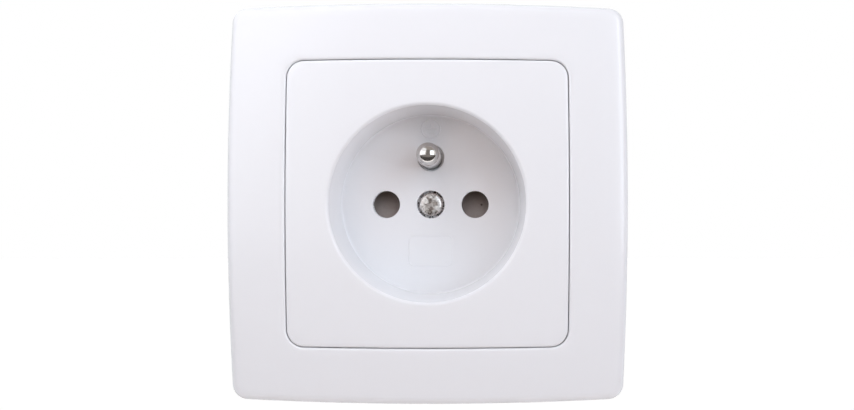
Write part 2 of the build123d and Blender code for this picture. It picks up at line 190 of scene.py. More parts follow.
# %% [markdown]
# ## Grey-brown nylon of the shutter
# The shutter slides, so it is moulded from a slippery nylon, darker than the face so that a closed hole reads
# as a hole. Its skin is satin with a fine moulded grain, and a small dark speck sits on the right ramp.

# %% Shutter nylon
SPECK_RIGHT = 10.9
SPECK_RADIUS = 0.3
shutter_nylon, tree, shader, place = new_finish("moulded_grey_brown_nylon")
grain = add_node(tree, "ShaderNodeTexNoise", inputs={
    "Vector": place, "Scale": per_metre(0.5), "Detail": 3.0})
tint = add_node(tree, "ShaderNodeMix", options={"data_type": "RGBA"}, inputs={
    "Factor": grain.outputs["Fac"], "A": linear("#998E89"), "B": linear("#A89D98")})
# The speck goes through the whole depth, so only its place across the front counts
from_front = add_node(tree, "ShaderNodeVectorMath", options={"operation": "MULTIPLY"}, inputs={
    0: place, 1: (1.0, 0.0, 1.0)})
speck_gap = add_node(tree, "ShaderNodeVectorMath", options={"operation": "DISTANCE"}, inputs={
    0: from_front.outputs["Vector"], 1: spot(SPECK_RIGHT, 0, 0)})
speck = add_node(tree, "ShaderNodeMapRange", inputs={
    "Value": speck_gap.outputs["Value"], "From Min": 0.5 * SPECK_RADIUS * MM, "From Max": SPECK_RADIUS * MM,
    "To Min": 1.0, "To Max": 0.0})
marked = add_node(tree, "ShaderNodeMix", options={"data_type": "RGBA"}, inputs={
    "Factor": speck.outputs["Result"], "A": tint.outputs["Result"], "B": linear("#5A504B")})
bump = add_node(tree, "ShaderNodeBump", inputs={
    "Height": grain.outputs["Fac"], "Strength": 0.2, "Distance": 0.1 * MM})
feed(tree, shader, {
    "Base Color": marked.outputs["Result"], "Roughness": 0.55, "IOR": PLASTIC_IOR,
    "Normal": bump.outputs["Normal"]})
print("made", shutter_nylon.name)

# %% [markdown]
# ## The hidden finishes
# Behind the face sit a zinc-plated steel plate, brass strips, spring steel, a thermoset base and a matte
# white retainer. Zinc shows a soft blotchy bloom, rolled brass shows lines along the strip, and the thermoset
# has a dry, slightly mottled skin.

# %% Zinc, brass, spring steel
zinc_steel, tree, shader, place = new_finish("zinc_plated_steel")
bloom = add_node(tree, "ShaderNodeTexNoise", inputs={
    "Vector": place, "Scale": per_metre(5.0), "Detail": 6.0})
tint = add_node(tree, "ShaderNodeMix", options={"data_type": "RGBA"}, inputs={
    "Factor": bloom.outputs["Fac"], "A": linear("#A9ADB4"), "B": linear("#C9CCD0")})
gloss = add_node(tree, "ShaderNodeMapRange", inputs={
    "Value": bloom.outputs["Fac"], "To Min": 0.28, "To Max": 0.5})
feed(tree, shader, {
    "Base Color": tint.outputs["Result"], "Metallic": 1.0, "Roughness": gloss.outputs["Result"]})

rolled_brass, tree, shader, place = new_finish("rolled_brass_strip")
stretch = add_node(tree, "ShaderNodeMapping", inputs={"Vector": place, "Scale": (1.0, 14.0, 14.0)})
lines = add_node(tree, "ShaderNodeTexNoise", inputs={
    "Vector": stretch.outputs["Vector"], "Scale": per_metre(6.0), "Detail": 4.0})
tint = add_node(tree, "ShaderNodeMix", options={"data_type": "RGBA"}, inputs={
    "Factor": lines.outputs["Fac"], "A": linear("#C39A4F"), "B": linear("#DDBB74")})
gloss = add_node(tree, "ShaderNodeMapRange", inputs={
    "Value": lines.outputs["Fac"], "To Min": 0.2, "To Max": 0.38})
feed(tree, shader, {
    "Base Color": tint.outputs["Result"], "Metallic": 1.0, "Roughness": gloss.outputs["Result"]})

spring_steel, tree, shader, place = new_finish("drawn_spring_steel")
drawn = add_node(tree, "ShaderNodeTexNoise", inputs={
    "Vector": place, "Scale": per_metre(0.6), "Detail": 3.0})
gloss = add_node(tree, "ShaderNodeMapRange", inputs={
    "Value": drawn.outputs["Fac"], "To Min": 0.25, "To Max": 0.4})
feed(tree, shader, {
    "Base Color": linear("#8E9096"), "Metallic": 1.0, "Roughness": gloss.outputs["Result"]})
print("made", zinc_steel.name, rolled_brass.name, spring_steel.name)

# %% Thermoset and matte white
thermoset, tree, shader, place = new_finish("moulded_grey_thermoset")
mottle = add_node(tree, "ShaderNodeTexNoise", inputs={
    "Vector": place, "Scale": per_metre(2.5), "Detail": 5.0})
tint = add_node(tree, "ShaderNodeMix", options={"data_type": "RGBA"}, inputs={
    "Factor": mottle.outputs["Fac"], "A": linear("#C9C8C3"), "B": linear("#D9D8D4")})
bump = add_node(tree, "ShaderNodeBump", inputs={
    "Height": mottle.outputs["Fac"], "Strength": 0.15, "Distance": 0.2 * MM})
feed(tree, shader, {
    "Base Color": tint.outputs["Result"], "Roughness": 0.5, "Normal": bump.outputs["Normal"]})

matte_white, tree, shader, place = new_finish("moulded_matte_white_abs")
grain = add_node(tree, "ShaderNodeTexNoise", inputs={
    "Vector": place, "Scale": per_metre(0.7), "Detail": 3.0})
bump = add_node(tree, "ShaderNodeBump", inputs={
    "Height": grain.outputs["Fac"], "Strength": 0.2, "Distance": 0.1 * MM})
feed(tree, shader, {
    "Base Color": linear("#E4E4E2"), "Roughness": 0.5, "IOR": PLASTIC_IOR,
    "Normal": bump.outputs["Normal"]})
print("made", thermoset.name, matte_white.name)

# %% [markdown]
# ## Outlines with bulging sides
# Frame and window are rounded squares whose sides bulge a little, as the real mouldings do. Four long arcs
# and four corner arcs touch each other, so every point knows the direction that leads straight out of the
# shape. Points come in the same order on every outline, which lets rings be skinned without a twist.

# %% Outline maker
SIDE_STEPS = 20
CORNER_STEPS = 12
CENTRE_TRIES = 60


def arc_points(centre_x, centre_y, radius, start, end, steps):
    """Points and outward directions on an arc, without its last point."""
    turns = [start + (end - start) * i / steps for i in range(steps)]
    return [
        (centre_x + radius * math.cos(a), centre_y + radius * math.sin(a), math.cos(a), math.sin(a))
        for a in turns]


def bowed_outline(width, height, corner, bow):
    """Points and outward directions round a rounded square whose sides bulge by bow."""
    right = width / 2 - bow
    top = height / 2 - bow
    side_radius = (top**2 + bow**2) / (2 * bow)
    cap_radius = (right**2 + bow**2) / (2 * bow)
    side_centre = width / 2 - side_radius
    cap_centre = height / 2 - cap_radius
    # The corner's centre is one corner radius inside both arcs, found by walking towards it
    x, y = right - corner, top - corner
    for _ in range(CENTRE_TRIES):
        reach = math.hypot(x - side_centre, y)
        x += (side_radius - corner - reach) * (x - side_centre) / reach
        reach = math.hypot(x, y - cap_centre)
        y += (cap_radius - corner - reach) * (y - cap_centre) / reach
    low = math.atan2(y, x - side_centre)
    high = math.atan2(y - cap_centre, x)
    # Half a turn
    half = math.pi
    arcs = [
        (side_centre, 0, side_radius, -low, low, SIDE_STEPS),
        (x, y, corner, low, high, CORNER_STEPS),
        (0, cap_centre, cap_radius, high, half - high, SIDE_STEPS),
        (-x, y, corner, half - high, half - low, CORNER_STEPS),
        (-side_centre, 0, side_radius, half - low, half + low, SIDE_STEPS),
        (-x, -y, corner, half + low, half + high, CORNER_STEPS),
        (0, -cap_centre, cap_radius, half + high, 2 * half - high, SIDE_STEPS),
        (x, -y, corner, 2 * half - high, 2 * half - low, CORNER_STEPS),
    ]
    return [point for arc in arcs for point in arc_points(*arc)]


FRAME_SIDE = 80.9
FRAME_CORNER = 3.4
FRAME_BOW = 0.85
WINDOW_WIDTH = 56.7
WINDOW_HEIGHT = 57.65
WINDOW_CORNER = 3.6
WINDOW_BOW = 0.22
FRAME_LINE = bowed_outline(FRAME_SIDE, FRAME_SIDE, FRAME_CORNER, FRAME_BOW)
WINDOW_LINE = bowed_outline(WINDOW_WIDTH, WINDOW_HEIGHT, WINDOW_CORNER, WINDOW_BOW)
print("points round the frame:", len(FRAME_LINE))

# %% [markdown]
# ## A domed front and rounded edges
# Frame and insert share one front: a cap of a very large ball, so that a hand glides over the joint. Where a
# wall meets the dome, a small arc takes over. Its centre lies one radius inside the wall and one below the
# dome, which works for outer edges, the window and the lip of the recess alike.

# %% Dome and edge rounds
DOME_HEIGHT = 10.6
DOME_RADIUS = 450.0


def dome_level(x, y):
    """Height of the shared front above the wall."""
    return DOME_HEIGHT - DOME_RADIUS + math.sqrt(DOME_RADIUS**2 - x * x - y * y)


def edge_round(level, slope, draft, radius, turn):
    """Depth into the material and level on a rounded edge, from the wall (turn 0) to the front (turn 1)."""
    pitch = math.tan(slope)
    drop = radius / math.cos(slope)
    depth = (radius + math.sin(draft) * (level - drop)) / (math.cos(draft) - math.sin(draft) * pitch)
    centre = level + depth * pitch - drop
    start = math.pi - draft
    angle = start + (math.pi / 2 + slope - start) * turn
    return depth + radius * math.cos(angle), centre + radius * math.sin(angle)


def edge_rings(line, side, draft, radius, steps):
    """Rings of a rounded edge along an outline; side is 1 where the material lies inside it, else -1."""
    rings = []
    for step in range(steps + 1):
        ring = []
        for x, y, to_x, to_y in line:
            slope = side * math.atan((x * to_x + y * to_y) / DOME_RADIUS)
            depth, level = edge_round(dome_level(x, y), slope, draft, radius, step / steps)
            ring.append((x - side * to_x * depth, y - side * to_y * depth, level))
        rings.append(ring)
    return rings


def shifted(line, inwards, level):
    """Ring at one level, moved inwards from an outline."""
    return [(x - to_x * inwards, y - to_y * inwards, level) for x, y, to_x, to_y in line]


def across_dome(outer, inner, steps):
    """Rings over the front between two rings, without the two themselves."""
    rings = []
    for step in range(1, steps):
        share = step / steps
        ring = [(a[0] + (b[0] - a[0]) * share, a[1] + (b[1] - a[1]) * share) for a, b in zip(outer, inner)]
        rings.append([(x, y, dome_level(x, y)) for x, y in ring])
    return rings


print("the front falls by", round(DOME_HEIGHT - dome_level(FRAME_SIDE / 2, 0), 2), "mm towards its edge")

# %% [markdown]
# ## Skinning rings
# A ring is a closed row of points, and a skin joins each ring to the next with four-cornered faces. Blender
# can do this by bridging edge loops, but laying the faces by hand keeps their order under control. When all
# faces are there, doubles are merged and the normals are turned outwards.

# %% Skin and finish
# Points nearer than this, in metres, become one
MERGE = 1e-7


def skin(mesh, rings, closed=False):
    """Add rings of points to a mesh with faces between them, and return the rows of vertices."""
    rows = [[mesh.verts.new(spot(*point)) for point in ring] for ring in rings]
    pairs = list(zip(rows, rows[1:]))
    if closed:
        pairs.append((rows[-1], rows[0]))
    for lower, upper in pairs:
        for i in range(len(lower)):
            j = (i + 1) % len(lower)
            mesh.faces.new((lower[i], lower[j], upper[j], upper[i]))
    return rows


def finish_piece(name, mesh, material, crease=30):
    """Close a mesh into an object with smooth faces that keep creases sharper than an angle."""
    bmesh.ops.remove_doubles(mesh, verts=mesh.verts, dist=MERGE)
    bmesh.ops.recalc_face_normals(mesh, faces=mesh.faces)
    data = bpy.data.meshes.new(name)
    mesh.to_mesh(data)
    mesh.free()
    data.shade_smooth()
    data.set_sharp_from_angle(angle=math.radians(crease))
    data.materials.append(material)
    piece = bpy.data.objects.new(name, data)
    scene.collection.objects.link(piece)
    print(name, "has", len(data.polygons), "faces")
    return piece


def block(mesh, left, right, low, high, back, front):
    """Add a box between two values in each direction."""
    corners = [spot(x, y, z) for z in (back, front) for y in (low, high) for x in (left, right)]
    points = [mesh.verts.new(corner) for corner in corners]
    for face in ((0, 1, 3, 2), (4, 6, 7, 5), (0, 4, 5, 1), (2, 3, 7, 6), (0, 2, 6, 4), (1, 5, 7, 3)):
        mesh.faces.new([points[i] for i in face])


print("skinning helpers ready")

# %% [markdown]
# ## Cover frame
# The frame is a hollow moulding: a drafted outer wall, a soft rounded front edge, the domed border, a crisp
# window edge, the ledge that carries the insert, and an open back. Going once round its section gives a
# closed row of rings, and one skin makes the whole piece. Four feet reach back to the mounting plate.

# %% Cover frame
FRAME_DRAFT = math.radians(2.0)
FRAME_WALL = 2.2
FRAME_ROUND = 1.8
WINDOW_WALL = 1.8
LEDGE_TOP = 6.4
LEDGE_BACK = 4.4
LEDGE_WIDTH = 2.2
JOINT_EDGE = 0.4
# Level at which the inner wall's draft is taken for the ceiling of the hollow
CEILING_LEVEL = 6.5
FOOT_PLACE = 32.65
FOOT_HALF = 1.8
FOOT_TOP = 7.0
PLATE_FRONT = 1.2
SOFT_STEPS = 8
JOINT_STEPS = 4
BORDER_STEPS = 10
outer_edge = edge_rings(FRAME_LINE, 1, FRAME_DRAFT, FRAME_ROUND, SOFT_STEPS)
window_edge = edge_rings(WINDOW_LINE, -1, 0.0, JOINT_EDGE, JOINT_STEPS)[::-1]
window_back = shifted(WINDOW_LINE, -WINDOW_WALL, LEDGE_BACK)
ceiling_inner = [(x, y, dome_level(x, y) - FRAME_WALL) for x, y, level in window_back]
wall_inside = shifted(FRAME_LINE, FRAME_WALL + CEILING_LEVEL * math.tan(FRAME_DRAFT), CEILING_LEVEL)
ceiling_outer = [(x, y, dome_level(x, y) - FRAME_WALL) for x, y, level in wall_inside]
section = [shifted(FRAME_LINE, FRAME_WALL, 0.0), shifted(FRAME_LINE, 0.0, 0.0)]
section += outer_edge + across_dome(outer_edge[-1], window_edge[0], BORDER_STEPS) + window_edge
section += [shifted(WINDOW_LINE, 0.0, LEDGE_TOP), shifted(WINDOW_LINE, LEDGE_WIDTH, LEDGE_TOP)]
section += [shifted(WINDOW_LINE, LEDGE_WIDTH, LEDGE_BACK), window_back, ceiling_inner, ceiling_outer]
mesh = bmesh.new()
skin(mesh, section, closed=True)
for x in (-FOOT_PLACE, FOOT_PLACE):
    for y in (-FOOT_PLACE, FOOT_PLACE):
        block(mesh, x - FOOT_HALF, x + FOOT_HALF, y - FOOT_HALF, y + FOOT_HALF, PLATE_FRONT, FOOT_TOP)
cover_shell = finish_piece("cover_shell", mesh, white_abs)
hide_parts("cover_frame")
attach(cover_shell, "socket")

# %% [markdown]
# ## Socket insert
# The insert is one moulding with a square skirt, a domed face that flows into a round lip, a drafted recess
# and a flat floor with four holes. The visible skin is made fresh from rings, because a lip needs many small
# faces to carry its highlight. What lies behind the floor is copied from the frame's own piece, so the
# housing of the shutter stays exactly where it works. Thin triangles then zip the front to that back.

# %% Recess and face
RECESS_DRAFT = math.radians(2.0)
FLOOR = -5.0
FLOOR_RADIUS = 19.1
FLOOR_ROUND = 0.5
LIP_ROUND = 0.7
# The joint is widest at the ledge and narrows towards the face, because the mould is drafted
SKIRT_GAP = 0.3
FACE_GAP = 0.18
FACE_STEPS = 14
insert_line = [(x - to_x * FACE_GAP, y - to_y * FACE_GAP, to_x, to_y) for x, y, to_x, to_y in WINDOW_LINE]
lip_start = FLOOR_RADIUS - FLOOR * math.tan(RECESS_DRAFT)
headings = [math.atan2(y, x) for x, y, to_x, to_y in insert_line]


def circle_ring(radius, level, centre_x=0.0, centre_y=0.0):
    """Ring of points on a circle, in step with the insert's outline."""
    return [(centre_x + radius * math.cos(a), centre_y + radius * math.sin(a), level) for a in headings]


lip_line = [(lip_start * math.cos(a), lip_start * math.sin(a), math.cos(a), math.sin(a)) for a in headings]
insert_edge = edge_rings(insert_line, 1, 0.0, JOINT_EDGE, JOINT_STEPS)
lip_edge = edge_rings(lip_line, -1, RECESS_DRAFT, LIP_ROUND, SOFT_STEPS)[::-1]
recess_rings = [shifted(WINDOW_LINE, SKIRT_GAP, LEDGE_TOP)] + insert_edge
recess_rings += across_dome(insert_edge[-1], lip_edge[0], FACE_STEPS) + lip_edge
for step in range(SOFT_STEPS + 1):
    angle = math.pi / 2 * step / SOFT_STEPS
    radius = FLOOR_RADIUS - FLOOR_ROUND + FLOOR_ROUND * math.cos(angle)
    recess_rings.append(circle_ring(radius, FLOOR + FLOOR_ROUND - FLOOR_ROUND * math.sin(angle)))
mesh = bmesh.new()
rows = skin(mesh, recess_rings)
print("rings over the face and down the recess:", len(rows))

# %% Floor with its holes
PIN_PLACE = 9.5
PIN_HOLE = 2.9
EARTH_UP = 10.0
EARTH_HOLE = 2.78
SCREW_HOLE = 2.975
SCREW_SEAT = -7.6
HOLE_END = -7.5
HOLE_RIM = 0.18
EARTH_RIM = 0.3
RIM_STEPS = 4
# Each hole: right, up, radius, level of its far end, and radius of its rounded rim
holes = [
    (-PIN_PLACE, 0.0, PIN_HOLE, HOLE_END, HOLE_RIM),
    (PIN_PLACE, 0.0, PIN_HOLE, HOLE_END, HOLE_RIM),
    (0.0, EARTH_UP, EARTH_HOLE, HOLE_END, EARTH_RIM),
    (0.0, 0.0, SCREW_HOLE, SCREW_SEAT, HOLE_RIM),
]
# A thin land closes most of the gap round the pin; radius and level of its corners
LAND_RADIUS = 2.46
EARTH_LAND = [(EARTH_HOLE, -6.15), (LAND_RADIUS, -6.2), (LAND_RADIUS, -6.8), (EARTH_HOLE, -6.85)]
# Room for rounding where faces and points are picked by their place
SLACK = 0.1


def ring_edges(mesh, row):
    """Edges of a closed row of vertices."""
    return [mesh.edges.get((a, b)) for a, b in zip(row, row[1:] + row[:1])]


floor_edges = ring_edges(mesh, rows[-1])
# Where the front ends: a ring, the place of its centre, its level, and the reach of its points from there
seams = [(rows[0], 0.0, 0.0, LEDGE_TOP, FRAME_SIDE / 2)]
for right, up, radius, back, rim in holes:
    rings = []
    for step in range(RIM_STEPS + 1):
        angle = math.pi / 2 * step / RIM_STEPS
        wider = radius + rim * (1 - math.sin(angle))
        rings.append(circle_ring(wider, FLOOR - rim * (1 - math.cos(angle)), right, up))
    if up == EARTH_UP:
        rings += [circle_ring(wide, level, right, up) for wide, level in EARTH_LAND]
    rings.append(circle_ring(radius, back, right, up))
    hole_rows = skin(mesh, rings)
    seams.append((hole_rows[-1], right, up, back, radius + SLACK))
    floor_edges += ring_edges(mesh, hole_rows[0])
floor_fill = bmesh.ops.triangle_fill(mesh, use_beauty=True, edges=floor_edges)
bmesh.ops.recalc_face_normals(mesh, faces=mesh.faces)
print("faces and edges that fill the floor:", len(floor_fill["geom"]))

# %% Back of the insert
# Points of the frame's piece nearer than this, in metres, become one
CAD_MERGE = 1e-6
# A front looks out of the wall by more than the first value, and a wall by less than the second
FRONT_LOOK = 0.3
WALL_LOOK = 0.2
RECESS_INNER = 18.4
RECESS_OUTER = 20.6
SKIRT_REACH = 24.0
# Closer room, where a hole or a level has to be told from its neighbours
NEAR = 0.05
behind = bmesh.new()
behind.from_mesh(nodes["socket_insert"].data)
bmesh.ops.remove_doubles(behind, verts=behind.verts, dist=CAD_MERGE)
fresh = []
for face in behind.faces:
    x, y, out = from_wall(face.calc_center_median())
    looks = -face.normal.y
    outwards = face.normal.x * x + face.normal.z * y
    is_wall = abs(looks) < WALL_LOOK
    on_front = looks > FRONT_LOOK and out > FLOOR - SLACK
    on_recess = is_wall and outwards < 0 and RECESS_INNER < math.hypot(x, y) < RECESS_OUTER and out > FLOOR
    on_skirt = is_wall and outwards > SKIRT_REACH and out > LEDGE_TOP - SLACK
    in_hole = is_wall and any(
        math.hypot(x - right, y - up) < radius + NEAR and back < out < FLOOR
        for right, up, radius, back, rim in holes)
    if on_front or on_recess or on_skirt or in_hole:
        fresh.append(face)
bmesh.ops.delete(behind, geom=fresh, context="FACES")
spare = bpy.data.meshes.new("insert_back")
behind.to_mesh(spare)
behind.free()
mesh.from_mesh(spare)
bpy.data.meshes.remove(spare)
print("faces taken off the copied back:", len(fresh))

# %% Seams of the insert


def zip_rings(mesh, first, second, right, up):
    """Fill the thin seam between two rings round one centre with triangles, in order of angle."""

    def heading(vertex):
        x, y, out = from_wall(vertex.co)
        return math.atan2(y - up, x - right)

    first = sorted(first, key=heading)
    second = sorted(second, key=heading)
    first_turns = [heading(vertex) for vertex in first[1:]] + [heading(first[0]) + 2 * math.pi]
    second_turns = [heading(vertex) for vertex in second[1:]] + [heading(second[0]) + 2 * math.pi]
    i = j = 0
    while i < len(first) or j < len(second):
        a, b = first[i % len(first)], second[j % len(second)]
        if j == len(second) or (i < len(first) and first_turns[i] <= second_turns[j]):
            i += 1
            mesh.faces.new((a, first[i % len(first)], b))
        else:
            j += 1
            mesh.faces.new((a, second[j % len(second)], b))


front_points = {vertex for seam in seams for vertex in seam[0]}
back_points = [vertex for vertex in mesh.verts if vertex.is_boundary and vertex not in front_points]
for ring, right, up, level, reach in seams:
    partner = []
    for vertex in back_points:
        x, y, out = from_wall(vertex.co)
        if abs(out - level) < NEAR and math.hypot(x - right, y - up) < reach:
            partner.append(vertex)
    zip_rings(mesh, ring, partner, right, up)
print("open edges left on the insert:", sum(edge.is_boundary for edge in mesh.edges))
insert_shell = finish_piece("insert_shell", mesh, white_abs)
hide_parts("socket_insert")
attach(insert_shell, "socket")

# %% [markdown]
# ## Turned pieces
# Pins and screws are turned on a lathe: a profile spun round an axis. A list of radius and level pairs is the
# profile, and each pair becomes a ring. Rounded ends get many pairs, so that a mirror finish shows no facets.
# A thread is drawn as a row of ridges, which reads as one at this size.

# %% Lathe
TURN_STEPS = 72
# A ring this small melts into one point when doubles are merged
POLE = 0.00002
THREAD_RADIUS = 1.5
THREAD_ROOT = 1.25
# Plain neck between a head and its thread
THREAD_NECK = 0.2


def turned(mesh, profile, centre_x=0.0, centre_y=0.0):
    """Skin a turned shape from pairs of radius and level, closed at both ends."""
    turns = [2 * math.pi * i / TURN_STEPS for i in range(TURN_STEPS)]
    rings = [
        [(centre_x + radius * math.cos(a), centre_y + radius * math.sin(a), level) for a in turns]
        for radius, level in profile]
    rows = skin(mesh, rings)
    for row in (rows[0], rows[-1]):
        mesh.faces.new(row)


def quarter(centre_radius, centre_level, radius, end, steps):
    """Pairs of radius and level on a rounded corner, from the side up to an angle in degrees."""
    turns = [math.radians(end * i / steps) for i in range(steps + 1)]
    return [(centre_radius + radius * math.cos(a), centre_level + radius * math.sin(a)) for a in turns]


def thread(start, end, steps):
    """Pairs of radius and level that rise and fall between two levels."""
    radii = (THREAD_ROOT, THREAD_RADIUS)
    return [(radii[step % 2], start + (end - start) * step / steps) for step in range(steps + 1)]


print("lathe ready with", TURN_STEPS, "steps")

# %% [markdown]
# ## Earth pin
# The pin stands 14 mm out of the recess floor and ends in a half ball, so that a plug finds it first. Behind
# the floor it runs to a collar on the earth strap, where its thin tail is riveted over.

# %% Earth pin
PIN_RADIUS = 2.4
PIN_SHANK = 2.2
PIN_STEP = -4.9
PIN_TIP = 9.0
TIP_STEPS = 24
COLLAR_RADIUS = 3.4
COLLAR_FRONT = -23.3
COLLAR_BACK = -24.8
COLLAR_BEVEL = 0.1
TAIL_RADIUS = 1.5
RIVET_RADIUS = 2.3
RIVET_FRONT = -25.6
RIVET_BACK = -26.4
RIVET_BEVEL = 0.2
profile = [(POLE, RIVET_BACK), (RIVET_RADIUS - RIVET_BEVEL, RIVET_BACK)]
profile += [(RIVET_RADIUS, RIVET_BACK + RIVET_BEVEL), (RIVET_RADIUS, RIVET_FRONT)]
profile += [(TAIL_RADIUS, RIVET_FRONT), (TAIL_RADIUS, COLLAR_BACK)]
profile += [(COLLAR_RADIUS - COLLAR_BEVEL, COLLAR_BACK), (COLLAR_RADIUS, COLLAR_BACK + COLLAR_BEVEL)]
profile += [(COLLAR_RADIUS, COLLAR_FRONT - COLLAR_BEVEL), (COLLAR_RADIUS - COLLAR_BEVEL, COLLAR_FRONT)]
profile += [(PIN_SHANK, COLLAR_FRONT), (PIN_SHANK, PIN_STEP), (PIN_RADIUS, PIN_STEP)]
profile += quarter(0.0, PIN_TIP - PIN_RADIUS, PIN_RADIUS, 90, TIP_STEPS)
mesh = bmesh.new()
turned(mesh, profile, 0.0, EARTH_UP)
earth_pin = finish_piece("earth_pin_polished", mesh, bright_nickel)
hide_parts("earth_pin")
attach(earth_pin, "socket")

# %% [markdown]
# ## Middle screw
# A pan-head screw with a cross recess pulls the insert and the frame to the wall. The head is turned with a
# soft rim and a slightly crowned top. The recess is cut with a Boolean, the plainest way to sink a cross, by
# two crossed bars that narrow towards the tip of the driver.

# %% Cutters
# The cross narrows to these parts of its reach and width at its bottom
CROSS_TIP_REACH = 0.45
CROSS_TIP_WIDTH = 0.62
CROSS_CLEAR = 0.4


def cross_cutter(width, reach, depth, top, turn):
    """Cutter for a cross recess: two bars that narrow downwards."""
    cutter = bmesh.new()
    for angle in (math.radians(turn), math.radians(turn + 90)):
        cosine, sine = math.cos(angle), math.sin(angle)
        upper = [(-reach, -width), (reach, -width), (reach, width), (-reach, width)]
        lower = [(x * CROSS_TIP_REACH, y * CROSS_TIP_WIDTH) for x, y in upper]
        rows = []
        for row, level in ((upper, top + CROSS_CLEAR), (lower, top - depth)):
            places = [spot(x * cosine - y * sine, x * sine + y * cosine, level) for x, y in row]
            rows.append([cutter.verts.new(corner) for corner in places])
        cutter.faces.new(rows[0])
        cutter.faces.new(rows[1][::-1])
        for i in range(4):
            j = (i + 1) % 4
            cutter.faces.new((rows[0][j], rows[0][i], rows[1][i], rows[1][j]))
    bmesh.ops.recalc_face_normals(cutter, faces=cutter.faces)
    return cutter


def cut(piece, cutter):
    """Cut a piece with a cutter mesh and keep the result as a plain mesh."""
    data = bpy.data.meshes.new("cutter")
    cutter.to_mesh(data)
    cutter.free()
    tool = bpy.data.objects.new("cutter", data)
    scene.collection.objects.link(tool)
    boolean = piece.modifiers.new("cut", "BOOLEAN")
    boolean.object = tool
    boolean.use_self = True
    graph = bpy.context.evaluated_depsgraph_get()
    result = bpy.data.meshes.new_from_object(piece.evaluated_get(graph))
    piece.modifiers.clear()
    piece.data = result
    bpy.data.objects.remove(tool)
    print(piece.name, "has", len(result.polygons), "faces after the cut")


print("cutters ready")

# %% Middle screw
SCREW_TOP = -5.6
SCREW_POINT = -27.6
POINT_RADIUS = 1.2
POINT_BEVEL = 0.3
PAN_SEAT = 2.4
PAN_RADIUS = 2.5
PAN_ROUND = 0.65
PAN_SHOULDER = 0.75
PAN_ARC = 62
# Radius and drop below the top along the crown of the head
CROWN = [(1.5, 0.06), (0.7, 0.015), (POLE, 0.0)]
profile = [(POLE, SCREW_POINT), (POINT_RADIUS, SCREW_POINT)]
profile += thread(SCREW_POINT + POINT_BEVEL, SCREW_SEAT - THREAD_NECK, steps=38)
profile.append((PAN_SEAT, SCREW_SEAT))
profile += quarter(PAN_RADIUS - PAN_ROUND, SCREW_TOP - PAN_SHOULDER, PAN_ROUND, PAN_ARC, steps=8)
profile += [(radius, SCREW_TOP - drop) for radius, drop in CROWN]
mesh = bmesh.new()
turned(mesh, profile)
middle_screw = finish_piece("middle_screw", mesh, worn_nickel)
cut(middle_screw, cross_cutter(width=0.42, reach=1.55, depth=1.1, top=SCREW_TOP, turn=12.0))
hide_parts("cover_screw")
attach(middle_screw, "socket")

# %% [markdown]
# ## Raised marks on the recess floor
# Two marks stand about a tenth of a millimetre proud of the floor: the common earth sign above the pin, and a
# plain rounded panel below the screw. A mould maker cuts them as fine grooves, so here a groove's path is
# drawn as edges and a Geometry Nodes tree lays a thin round bead along it, sunk so that only its back shows.

# %% Trees and what grows from them


def input_identifier(tree, name):
    """Identifier of the input socket of a node group with a given name."""
    for item in tree.interface.items_tree:
        if item.item_type == "SOCKET" and item.in_out == "INPUT" and item.name == name:
            return item.identifier


def new_tree(name, inputs):
    """Geometry Nodes group with named inputs besides its geometry, its input node and its output node."""
    tree = bpy.data.node_groups.new(name, "GeometryNodeTree")
    tree.interface.new_socket("Geometry", in_out="INPUT", socket_type="NodeSocketGeometry")
    tree.interface.new_socket("Geometry", in_out="OUTPUT", socket_type="NodeSocketGeometry")
    for label, kind in inputs:
        tree.interface.new_socket(label, in_out="INPUT", socket_type=kind)
    return tree, tree.nodes.new("NodeGroupInput"), tree.nodes.new("NodeGroupOutput")


def end_tree(tree, given, made, geometry, smooth=True):
    """Make instances real, shade them smooth if asked, give them their finish and hand them out."""
    kinds = ["GeometryNodeRealizeInstances"]
    if smooth:
        kinds.append("GeometryNodeSetShadeSmooth")
    for kind in kinds:
        geometry = add_node(tree, kind, inputs={"Geometry": geometry}).outputs["Geometry"]
    dressed = add_node(tree, "GeometryNodeSetMaterial", inputs={
        "Geometry": geometry, "Material": given.outputs["Finish"]})
    feed(tree, made, {"Geometry": dressed.outputs["Geometry"]})
    print(tree.name, "has", len(tree.nodes), "nodes")


def grown(name, seed, tree, values):
    """Object with a plain mesh that a node group makes from a seed mesh and named values."""
    host = bpy.data.objects.new(name, seed)
    scene.collection.objects.link(host)
    modifier = host.modifiers.new(tree.name, "NODES")
    modifier.node_group = tree
    for label, value in values.items():
        modifier[input_identifier(tree, label)] = value
    graph = bpy.context.evaluated_depsgraph_get()
    result = bpy.data.meshes.new_from_object(host.evaluated_get(graph))
    host.modifiers.clear()
    host.data = result
    result.name = name
    print(name, "has", len(result.polygons), "faces")
    return host


print("tree helpers ready")

# %% Bead tree
bead_tree, given, made = new_tree("bead_along_edges", [
    ("Bead Radius", "NodeSocketFloat"), ("Bead Sides", "NodeSocketInt"), ("Finish", "NodeSocketMaterial")])
path = add_node(bead_tree, "GeometryNodeMeshToCurve", inputs={"Mesh": given.outputs["Geometry"]})
bead = add_node(bead_tree, "GeometryNodeCurvePrimitiveCircle", inputs={
    "Radius": given.outputs["Bead Radius"], "Resolution": given.outputs["Bead Sides"]})
swept = add_node(bead_tree, "GeometryNodeCurveToMesh", inputs={
    "Curve": path.outputs["Curve"], "Profile Curve": bead.outputs["Curve"], "Fill Caps": True})
end_tree(bead_tree, given, made, swept.outputs["Mesh"])

# %% Earth sign and bare panel
SIGN_UP = 16.2
SIGN_RADIUS = 2.0
SIGN_STEPS = 60
SIGN_STEM = 1.3
